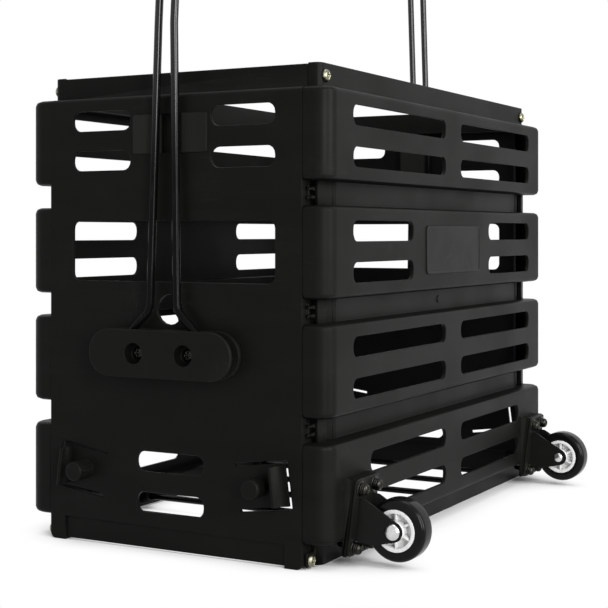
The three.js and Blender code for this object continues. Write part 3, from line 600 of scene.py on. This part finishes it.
def moulded_plastic(colour):
    """Satin moulding: fine spark grain, cloudy gloss, faint flow marks, dry scuffs and painted light on the
    handle rests.

    The rests are the pads that stand out of the end planes and the pocket between them, both painted paler:
    a painted highlight on the pads, most on the left one, and painted fill light lifting the pocket's
    shade.
    """
    look = Recipe("moulded plastic", colour, 0.5, specular=0.055)
    cloud = look.noise(0.09, 4.0)
    flow = look.noise(0.03, 2.0, (3.0, 3.0, 0.5))
    grain = look.noise(0.0005, 2.0)
    scuff = look.scratches(0.05, 0.0012, 0.012)
    pad_face, pocket_mouth, pocket_edge, soft = 215.6 * MM, 214 * MM, 12 * MM, 0.6 * MM
    foot, top, fade = 280 * MM, 312 * MM, 1 * MM
    across, depth, height = (look.axis(letter) for letter in "XYZ")
    aside = across - BIN_CENTRE_X
    reach = abs(depth)
    # Painted light: the pads are painted paler as a painted highlight, the left pad most, and the pocket
    # paler to lift its shade.
    pads = reach.between(pad_face, pad_face + soft) * (0.75 - aside.between(-5 * MM, 40 * MM) * 0.4)
    inside = 1 - abs(aside).between(pocket_edge, pocket_edge + soft)
    pocket = inside * (1 - reach.between(pocket_mouth, pocket_mouth + soft)) * 0.9
    tall = height.between(foot, foot + fade) * (1 - height.between(top, top + fade))
    painted_rest_light = pads.highest(pocket) * tall
    # The paler colour laid on the rests is painted light.
    base = look.laid_over(look.clouded(flow, 0.1), painted_rest_light, (0.017, 0.017, 0.0155))
    look.feed(
        Base_Color=look.laid_over(base, scuff * 0.1, (0.06, 0.06, 0.058)),
        Roughness=look.uneven(cloud, 0.38, 0.1) + scuff * 0.08)
    return look.finished((grain, 0.025), (flow, 0.12), (scuff, -0.01))


def bracket_plastic(colour):
    """Harder black moulding of the pivot plates: a finer matte grain and light handling marks."""
    look = Recipe("bracket plastic", colour, 0.5, specular=0.07)
    cloud = look.noise(0.03)
    grain = look.noise(0.0004, 2.0)
    scuff = look.scratches(0.03, 0.0008, 0.014)
    look.feed(
        Base_Color=look.laid_over(look.clouded(cloud, 0.1), scuff * 0.15, (0.07, 0.07, 0.068)),
        Roughness=look.uneven(cloud, 0.44, 0.12))
    return look.finished((grain, 0.02), (scuff, -0.01))


def rod_coating(colour):
    """Black lacquer on steel rod: a slight ripple, streaks rubbed along it and less gloss lower down."""
    look = Recipe("rod coating", colour, 0.3, specular=0.035)
    ripple = look.noise(0.004, 2.0, (1, 1, 2.5))
    cloud = look.noise(0.07)
    rub = look.noise(0.003, 2.0, (0.5, 0.5, 9.0)).between(0.62, 0.72)
    gloss = look.axis("Z").between(0.26, 0.37) * 0.62
    look.feed(
        Base_Color=look.laid_over(look.clouded(cloud, 0.15), rub * 0.2, (0.03, 0.03, 0.03)),
        Roughness=look.uneven(cloud, 0.18, 0.1) + rub * 0.12,
        Coat_Weight=0.05 + gloss,
        Coat_Roughness=0.04)
    return look.finished((ripple, 0.02))


def sleeve_rubber(colour):
    """Soft matte sleeve with a fine pebble and paler, drier high spots."""
    look = Recipe("sleeve rubber", colour, 0.7, specular=0.15)
    pebble = look.noise(0.0008, 2.0)
    cloud = look.noise(0.02)
    look.feed(Base_Color=look.clouded(cloud, 0.2), Roughness=0.62 + pebble.between(0.4, 0.6) * 0.14)
    return look.finished((pebble, 0.06))


def pitted_metal(name, colour, mean, lump, detail, spread, low, swing):
    """Bare or plated steel, dulled and pitted in small clouds and a little darker in its low spots."""
    look = Recipe(name, colour, mean, 1.0)
    cloud = look.noise(lump, detail)
    look.feed(Base_Color=look.clouded(cloud, spread), Roughness=look.uneven(cloud, low, swing))
    return look.finished((cloud, 0.02))


def screw_plating(name, colour):
    """Zinc plating of the screws."""
    return pitted_metal(name, colour, 0.3, lump=0.0022, detail=3.0, spread=0.14, low=0.24, swing=0.2)


def rivet_metal(colour):
    """Bright pressed steel of the axle heads, smoother than the plating."""
    return pitted_metal(
        "rivet metal", colour, 0.25, lump=0.003, detail=4.0, spread=0.08, low=0.18, swing=0.16)


def fork_paint(colour):
    """Satin black paint over stamped steel: soft orange peel and small chips of grey primer."""
    look = Recipe("fork paint", colour, 0.4, specular=0.085)
    peel = look.noise(0.0025, 2.0)
    cloud = look.noise(0.02)
    chips = look.noise(0.0022, 1.0).between(0.74, 0.77)
    look.feed(
        Base_Color=look.laid_over(look.clouded(cloud, 0.12), chips * 0.3, (0.06, 0.058, 0.055)),
        Roughness=look.uneven(cloud, 0.34, 0.12))
    return look.finished((peel, 0.03), (chips, -0.02))


def hub_plastic(colour):
    """Pale grey hub moulding with a soft gloss and a little grime."""
    look = Recipe("hub plastic", colour, 0.4, specular=0.4)
    cloud = look.noise(0.008, 4.0)
    grime = look.noise(0.004, 4.0).between(0.56, 0.7)
    look.feed(
        Base_Color=look.laid_over(look.clouded(cloud, 0.05), grime * 0.18, (0.28, 0.27, 0.25)),
        Roughness=look.uneven(cloud, 0.32, 0.12) + grime * 0.1)
    return look.finished((cloud, 0.03))


def tyre_rubber(colour):
    """Hard black tread with faint turning marks, duller in the patches where it has rolled."""
    look = Recipe("tyre rubber", colour, 0.3, specular=0.11)
    cloud = look.noise(0.01)
    marks = look.noise(0.0012, 2.0, (1, 0.4, 1))
    dull = cloud.between(0.4, 0.8)
    look.feed(Base_Color=look.shade(dull, 0.25), Roughness=look.uneven(cloud, 0.12, 0.1))
    return look.finished((marks, 0.015))


def badge_plastic(colour):
    """Smooth dark plate with a slightly uneven sheen and hairline rubs."""
    look = Recipe("badge plastic", colour, 0.35, specular=0.07)
    cloud = look.noise(0.03)
    rub = look.scratches(0.03, 0.0006, 0.01)
    look.feed(
        Base_Color=look.laid_over(look.clouded(cloud, 0.08), rub * 0.15, (0.09, 0.09, 0.09)),
        Roughness=look.uneven(cloud, 0.32, 0.08))
    return look.finished((cloud, 0.03))


# Pieces

def settings(context):
    """The scene's sizes and colours."""
    return context.scene.hopper_sizes, context.scene.hopper_colours


class HOPPER_OT_mouldings(bpy.types.Operator):
    """Build the two side panels and the two end panels"""

    bl_idname = "hopper.mouldings"
    bl_label = "Bin mouldings"

    def execute(self, context):
        sizes, colours = settings(context)
        plastic = moulded_plastic(colours.moulding)
        for node in MOULDINGS:
            stands_for(rounded_copy(node, sizes.edge_round), "bin", plastic, "moulded_plastic", node)
        strips = self.bars(WINDOW_BARS, GAPS) + self.bars((SEAM_BACKING,), BANDS)
        edges = self.bars((REST_EDGE,), RESTS)
        for piece in (joined("corner_strips", strips), joined("handle_rest_edges", edges)):
            stands_for(piece, "bin", plastic, "moulded_plastic")
        return {"FINISHED"}

    def bars(self, shapes, heights):
        """Upright bars near each corner of the bin, one for each shape at each height.

        In the gaps these are the strips outside the snap hooks and the corner windows' lips and
        backs. On the bands they back the seam to the end plate. At the handle rests they round
        the inner edges of the pads.
        """
        parts = []
        for side, end in ((-1, -1), (1, -1), (-1, 1), (1, 1)):
            for height, tall in heights:
                for out, depth, thick, wide, power, turn in shapes:
                    centre = np.array((side * out, end * depth, height)) * MM + (BIN_CENTRE_X, 0, 0)
                    half = (thick * MM, wide * MM, tall * MM)
                    parts.append(bar("corner_bar", centre, half, power, side * end * turn))
        return parts


class HOPPER_OT_brackets(bpy.types.Operator):
    """Build the pivot brackets' back plates and cover plates"""

    bl_idname = "hopper.brackets"
    bl_label = "Pivot brackets"

    def execute(self, context):
        sizes, colours = settings(context)
        plastic = bracket_plastic(colours.bracket)
        for node in BRACKETS:
            stands_for(rounded_copy(node, sizes.bracket_round), "bin", plastic, "bracket_plastic", node)
        return {"FINISHED"}


def handle_path(sizes, side):
    """The rod's centre line: pin, knee, leg, top bar and back, mirrored front to rear."""
    pivot = sizes.pivot_height
    plane = END_PLANE - sizes.rod_offset
    knee = pivot + sizes.pivot_spacing - sizes.knee_offset

    def lean(z):
        lower = (min(z, sizes.nip_height) - pivot) * sizes.lower_lean
        upper = max(z - sizes.nip_height, 0) * sizes.upper_lean
        return plane + lower + upper

    half = np.array([
        [sizes.pivot_spacing, END_PLANE + sizes.pin_depth, pivot],
        [sizes.pivot_spacing, plane, pivot],
        [sizes.knee_offset, lean(knee), knee],
        [sizes.nip_offset, lean(sizes.nip_height), sizes.nip_height],
        [sizes.nip_offset, lean(sizes.handle_height), sizes.handle_height],
    ])
    corners = np.vstack([half, (half * (1, -1, 1))[::-1]]) * (side, 1, 1) + (BIN_CENTRE_X, 0, 0)
    nip_bend = sizes.nip_height / 4
    bends = [sizes.pin_bend, sizes.knee_bend, nip_bend, sizes.top_bend]
    return rounded(corners, bends + bends[::-1], steps=10)


class HOPPER_OT_handles(bpy.types.Operator):
    """Build the two bent handle rods and their sleeves"""

    bl_idname = "hopper.handles"
    bl_label = "Handles"

    def execute(self, context):
        sizes, colours = settings(context)
        coating = rod_coating(colours.rod)
        rubber = sleeve_rubber(colours.sleeve)
        for side, name in ((1, "right"), (-1, "left")):
            rod = tube(f"handle_rod_{name}_surface", handle_path(sizes, side), sizes.rod_radius)
            stands_for(rod, f"handle_{name}", coating, "black_steel", f"handle_rod_{name}")
            node = f"handle_grip_{name}"
            centre, (_, half, outer) = node_room(node)
            sleeve = turned(f"{node}_surface", self.sleeve_profile(sizes, half, outer), centre, closed=True)
            stands_for(sleeve, f"handle_{name}", rubber, "grip_sleeve", node)
        return {"FINISHED"}

    def sleeve_profile(self, sizes, half, outer):
        """Radius along the sleeve: the outer one less a rib's depth times 1 - sqrt(|sin|), ends rounded."""
        bore = sizes.rod_radius + 0.1 * MM
        depth, shoulder, plain = 0.7 * MM, 1.5 * MM, 2 * MM
        along = np.linspace(-half + plain, half - plain, sizes.grip_ribs * 8 + 1)
        wave = np.abs(np.sin((along + half) / (2 * half) * np.pi * sizes.grip_ribs))
        ridge = outer - depth * (1 - wave ** 0.5)
        start = arc((outer - shoulder, -half + shoulder), shoulder, -90, 0)
        stop = arc((outer - shoulder, half - shoulder), shoulder, 0, 90)
        middle = np.stack([ridge, along], axis=-1)
        return np.vstack([[(bore, -half)], start, middle, stop, [(bore, half)]])


class HOPPER_OT_floor_rods(bpy.types.Operator):
    """Build the steel rods of the bin's floor"""

    bl_idname = "hopper.floor_rods"
    bl_label = "Floor rods"

    def execute(self, context):
        coating = rod_coating(context.scene.hopper_colours.rod)
        for node in sorted(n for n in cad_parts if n.startswith("bottom_rod_")):
            centre, (reach, _, radius) = node_room(node)
            path = centre + np.outer((-1, 0, 1), (reach, 0, 0))
            stands_for(tube(f"{node}_surface", path, radius), "bin", coating, "black_steel", node)
        return {"FINISHED"}


class HOPPER_OT_casters(bpy.types.Operator):
    """Build the caster forks, tyres, spoked hubs and axle rivets"""

    bl_idname = "hopper.casters"
    bl_label = "Casters"

    def execute(self, context):
        sizes, colours = settings(context)
        paint = fork_paint(colours.fork)
        rubber = tyre_rubber(colours.tyre)
        plastic = hub_plastic(colours.hub)
        metal = rivet_metal(colours.rivet)
        for end, direction in ENDS:
            fork = rounded_copy(f"caster_fork_{end}", sizes.sheet_round, segments=2)
            stands_for(fork, "bin", paint, "fork_steel", f"caster_fork_{end}")
            stands_for(self.tyre(end), f"wheel_{end}", rubber, "tyre_rubber", f"wheel_tyre_{end}")
            stands_for(self.hub(end, sizes), f"wheel_{end}", plastic, "hub_plastic", f"wheel_hub_{end}")
            stands_for(self.axle(end, direction), "bin", metal, "rivet_steel", f"wheel_axle_{end}")
        return {"FINISHED"}

    def tyre(self, end):
        """Tyre turned from flat side walls, quarter-round shoulders, a flat tread and lips at the hub."""
        centre, (_, half, radius) = node_room(f"wheel_tyre_{end}")
        bore = node_room(f"wheel_hub_{end}")[1][2] + 0.1 * MM
        shoulder, lip = 3.8 * MM, 0.5 * MM
        section = np.vstack([
            arc((bore + lip, -half + lip), lip, 180, 270, 3),
            arc((radius - shoulder, -half + shoulder), shoulder, -90, 0, 10),
            arc((radius - shoulder, half - shoulder), shoulder, 0, 90, 10),
            arc((bore + lip, half - lip), lip, 90, 180, 3),
        ])
        return turned(f"wheel_tyre_{end}_surface", section, centre, steps=96, closed=True)

    def hub(self, end, sizes):
        """Hub: a rim ring, a dished web and a boss turned about the axle, with tapered spokes between."""
        node = f"wheel_hub_{end}"
        centre, (_, boss_half, outer) = node_room(node)
        half = node_room(f"wheel_tyre_{end}")[1][1]
        bore, boss, rim = 3.2 * MM, 6.6 * MM, outer - 2.7 * MM
        web, ease, hollow = 2 * MM, 0.4 * MM, 1.2 * MM
        side = np.vstack([
            arc((bore + ease, boss_half - ease), ease, 180, 90, 2),
            arc((boss - ease, boss_half - ease), ease, 90, 0, 3),
            arc((boss + hollow, web + hollow), hollow, 180, 270, 3),
            arc((rim - hollow, web + hollow), hollow, 270, 360, 3),
            arc((rim + ease, half - ease), ease, 180, 90, 3),
            arc((outer - ease, half - ease), ease, 90, 0, 3),
        ])
        section = np.vstack([side, (side * (1, -1))[::-1]])
        parts = [turned(f"{node}_ring", section, centre, steps=96, closed=True)]
        for spin in np.arange(sizes.spokes) * 2 * np.pi / sizes.spokes + np.pi / 2:
            parts.append(self.spoke(f"{node}_spoke", centre, spin, boss - ease, rim + ease, half - hollow))
        return joined(f"{node}_surface", parts)

    def spoke(self, name, centre, spin, inner, outer, half):
        """A spoke from the inner to the outer radius, turned about the axle by spin.

        Its section is a superellipse, narrowing evenly outwards from root to tip.
        """
        squareness, root, tip = 0.35, 1.25 * MM, 0.95 * MM
        round_x, round_y = squared_ring(squareness)
        along = np.linspace(inner, outer, 4)
        width = np.linspace(root, tip, 4)
        u = along[:, None] + 0 * round_x
        v = width[:, None] * round_x
        w = half * round_y + 0 * u
        x = u * math.cos(spin) - v * math.sin(spin)
        z = u * math.sin(spin) + v * math.cos(spin)
        return surface(name, np.stack([x, w, z], axis=-1) + centre, cap_ends=True)

    def axle(self, end, direction):
        """Axle rivet: a domed head on the outer side, a straight shank and a small peened tail."""
        node = f"wheel_axle_{end}"
        centre, (_, reach, head) = node_room(node)
        rise, brim, shank, tail, peen = 2.6 * MM, 0.35 * MM, 3 * MM, 4.2 * MM, 1.6 * MM
        angle = np.linspace(0, np.pi / 2, 10)
        section = np.vstack([
            np.stack([head * np.sin(angle), rise * (1 - np.cos(angle)) ** 0.9], axis=-1),
            [(head, rise + brim - 0.1 * MM), (head - 0.2 * MM, rise + brim), (shank, rise + brim)],
            (0, 2 * reach) + np.array([(shank, -peen), (tail, -peen), (tail * 0.9, -0.7 * MM)]),
            (0, 2 * reach) + np.array([(tail * 0.5, -0.1 * MM), (0, 0)]),
        ])
        section[:, 1] = (section[:, 1] - reach) * -direction
        return turned(f"{node}_surface", section, centre, steps=48)


class HOPPER_OT_screws(bpy.types.Operator):
    """Build every screw with its cross recess, and the washers under the caster screws"""

    bl_idname = "hopper.screws"
    bl_label = "Screws"

    def execute(self, context):
        colours = context.scene.hopper_colours
        pale = screw_plating("screw plating", colours.screw)
        # The dark plating is the casters' dark steel; on the bracket screws it is painted shade for their
        # deep cups, over the same zinc as the rim screws.
        dark = screw_plating("dark and shaded screw plating", colours.dark_screw)
        for node in sorted(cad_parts):
            kind = node.rsplit("_", 1)[0]
            if kind in ("rim_screw", "foot_screw"):
                stands_for(self.level(node, 0), "bin", pale, "screw_steel", node)
            elif kind == "bracket_screw":
                stands_for(self.level(node, 1), "bin", dark, "dark_screw_steel", node)
            elif kind == "caster_screw":
                stands_for(self.on_caster(node), "bin", dark, "dark_screw_steel", node)
        return {"FINISHED"}

    def level(self, node, axis):
        """A level screw whose head faces away from the bin's middle, along X for axis 0 or Y for axis 1."""
        seat, half = node_room(node)
        out = 1 if seat[axis] > (BIN_CENTRE_X, 0)[axis] else -1
        seat[axis] += out * (half[axis] - HEAD_RISE)
        axes = ([[0, out, 0], [0, 0, 1], [out, 0, 0]], [[1, 0, 0], [0, 0, -out], [0, out, 0]])[axis]
        shank, recess = 2.2 * MM, 1.7 * MM
        screw = cross_head(f"{node}_surface", half[2], HEAD_RISE, recess, shank, 2 * half[axis] - HEAD_RISE)
        return place(screw, axes, seat)

    def on_caster(self, node):
        """A screw square to the tilted fork plate, over a coil of spring washer and a broad flat washer.

        The fork's plate lies behind the head at the depth where the frame's own washer sits.
        """
        centre, (reach, _, _) = node_room(node)
        normal = np.array([math.cos(FORK_TILT), 0, -math.sin(FORK_TILT)])
        upward = np.array([math.sin(FORK_TILT), 0, math.cos(FORK_TILT)])
        axes = [[0, 1, 0], upward, normal]
        radius, shank, recess, ease = 4.1 * MM, 1.9 * MM, 1.5 * MM, 0.2 * MM
        length = (2 * reach - HEAD_RISE) / math.cos(FORK_TILT) * 0.9 + WASHER_STACK
        crown = centre + normal * (reach - upward[0] * radius) / math.cos(FORK_TILT)
        plate = crown - normal * (HEAD_RISE + FORK_PLATE)
        screw = cross_head(f"{node}_head", radius, HEAD_RISE, recess, shank, length)
        parts = [place(screw, axes, plate + normal * WASHER_STACK)]
        for start, outer, thick in np.array(WASHER_RINGS) * MM:
            section = [(WASHER_BORE, 0), (outer - ease, 0), (outer, ease), (outer, thick - ease),
                       (outer - ease, thick), (WASHER_BORE, thick)]
            washer = turned(f"{node}_washer", section, (0, 0, 0), axis="Z", steps=40, closed=True)
            parts.append(place(washer, axes, plate + normal * start))
        return joined(f"{node}_surface", parts)


class HOPPER_OT_badge(bpy.types.Operator):
    """Build the blank plate on the second band: rounded outlines inset step by step, with a raised rim"""

    bl_idname = "hopper.badge"
    bl_label = "Blank badge"

    def execute(self, context):
        centre, (proud, *half) = node_room("blank_badge")
        wide, tall = np.array(half) - BADGE_CORNER
        rings = []
        for inset, level in np.array(BADGE_SECTION) * (MM, proud):
            corners = [arc((y * wide, z * tall), BADGE_CORNER - inset, turn, turn + 90, 8)
                       for y, z, turn in ((1, 1, 0), (-1, 1, 90), (-1, -1, 180), (1, -1, 270))]
            outline = np.vstack(corners)
            rings.append(np.column_stack([np.full(len(outline), level), outline]) + centre)
        plate = surface("blank_badge_surface", np.stack(rings), cap_ends=True)
        plastic = badge_plastic(context.scene.hopper_colours.badge)
        stands_for(plate, "bin", plastic, "badge_plastic", "blank_badge")
        return {"FINISHED"}


# Stage

class HOPPER_OT_stage(bpy.types.Operator):
    """Set up the floor, the white surroundings, soft lamps and the camera"""

    bl_idname = "hopper.stage"
    bl_label = "Studio"

    def execute(self, context):
        self.world(context.scene)
        self.floor()
        self.lamps(context.scene)
        self.camera(context.scene)
        context.scene.view_settings.view_transform = "Standard"
        return {"FINISHED"}

    def world(self, scene):
        """White surroundings for the camera and reflections, a soft grey fill for everything else."""
        world = bpy.data.worlds.new("studio surroundings")
        world.use_nodes = True
        nodes = Nodes(world.node_tree)
        white = (1, 1, 1, 1)
        fill = nodes.node("ShaderNodeBackground", {}, {"Color": white, "Strength": 0.35})
        bright = nodes.node("ShaderNodeBackground", {}, {"Color": white, "Strength": 1.0})
        both = nodes.node("ShaderNodeMixShader", {}, {0: nodes.seen(), 1: fill, 2: bright})
        nodes.fill(world.node_tree.nodes["World Output"], {"Surface": both})
        scene.world = world

    def floor(self):
        """A floor that is white in the open and shows its lit surface close under the hopper."""
        reach, dark, open_air = 50 * MM, 0.1, 0.84
        side = np.linspace(-6, 6, 2)
        points = np.stack([*np.meshgrid(side, side, indexing="ij"), np.zeros((2, 2))], axis=-1)
        floor = surface("studio_floor", points, wrap_v=False)
        material = bpy.data.materials.new("studio floor")
        material.use_nodes = True
        nodes = Nodes(material.node_tree)
        openness = nodes.node("ShaderNodeAmbientOcclusion", {"samples": 24}, {"Distance": reach}, "AO")
        plain = nodes.node("ShaderNodeBsdfDiffuse", {}, {"Color": (0.8, 0.8, 0.8, 1)})
        white = nodes.node("ShaderNodeEmission", {}, {"Color": (1, 1, 1, 1), "Strength": 1.0})
        clear = openness.between(dark, open_air)
        shown = nodes.node("ShaderNodeMixShader", {}, {0: clear, 1: plain, 2: white})
        both = nodes.node("ShaderNodeMixShader", {}, {0: nodes.seen(), 1: plain, 2: shown})
        nodes.fill(material.node_tree.nodes["Material Output"], {"Surface": both})
        floor.data.materials.append(material)

    def lamps(self, scene):
        """Soft boxes: tall ones by the casters' side and by the near corner, a square one overhead."""
        for name, position, width, height, power in LAMPS:
            lamp = bpy.data.lights.new(name, "AREA")
            lamp.shape = "RECTANGLE"
            lamp.size = width
            lamp.size_y = height
            lamp.energy = power
            facing = (LAMP_AIM - Vector(position)).to_track_quat("-Z", "Y").to_euler()
            self.stand(scene, name, lamp, position, facing)

    def camera(self, scene):
        """A level camera on the line of sight through the bin's near corner.

        The corner lies at its column of the frame and at its depth, and the lens is shifted down
        so that the horizon comes at its row.
        """
        studio = scene.hopper_studio
        corner = np.array([2 * BIN_CENTRE_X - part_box("side_panel_left")[0][0], END_PLANE])
        cos, sin = math.cos(studio.azimuth), math.sin(studio.azimuth)
        forward, right = np.array([(-sin, cos), (cos, sin)])
        middle = studio.frame_pixels / 2
        aside = (studio.corner_column - middle) * studio.corner_distance / studio.focal_pixels
        place = corner - forward * studio.corner_distance - right * aside
        camera = bpy.data.cameras.new("studio_camera")
        camera.sensor_width = 36
        camera.lens = studio.focal_pixels * camera.sensor_width / studio.frame_pixels
        camera.shift_y = (studio.horizon_row - middle) / studio.frame_pixels
        facing = (math.pi / 2, 0, studio.azimuth)
        scene.camera = self.stand(scene, "studio_camera", camera, (*place, studio.eye_height), facing)

    def stand(self, scene, name, data, position, facing):
        """An object in the scene that holds a lamp or the camera."""
        holder = bpy.data.objects.new(name, data)
        holder.location = position
        holder.rotation_euler = facing
        scene.collection.objects.link(holder)
        return holder


class HOPPER_PT_panel(bpy.types.Panel):
    """Lists the steps that build the hopper"""

    bl_idname = "HOPPER_PT_panel"
    bl_label = "Tennis Ball Hopper"
    bl_space_type = "VIEW_3D"
    bl_region_type = "UI"
    bl_category = "Hopper"

    def draw(self, context):
        for operator in STEPS:
            self.layout.operator(operator.bl_idname)
        for name in GROUPS:
            group = getattr(context.scene, name)
            box = self.layout.box()
            for key in group.__annotations__:
                box.prop(group, key)


STEPS = (
    HOPPER_OT_stage, HOPPER_OT_mouldings, HOPPER_OT_brackets, HOPPER_OT_floor_rods, HOPPER_OT_handles,
    HOPPER_OT_casters, HOPPER_OT_screws, HOPPER_OT_badge,
)
GROUPS = {"hopper_sizes": HopperSizes, "hopper_colours": HopperColours, "hopper_studio": StudioSettings}
CLASSES = (*GROUPS.values(), *STEPS, HOPPER_PT_panel)


def register():
    for cls in CLASSES:
        bpy.utils.register_class(cls)
    for name, group in GROUPS.items():
        setattr(bpy.types.Scene, name, bpy.props.PointerProperty(type=group))


def unregister():
    for name in GROUPS:
        delattr(bpy.types.Scene, name)
    for cls in reversed(CLASSES):
        bpy.utils.unregister_class(cls)


def main():
    register()
    for step in STEPS:
        group, name = step.bl_idname.split(".")
        getattr(getattr(bpy.ops, group), name)()


if __name__ == "__main__":
    main()
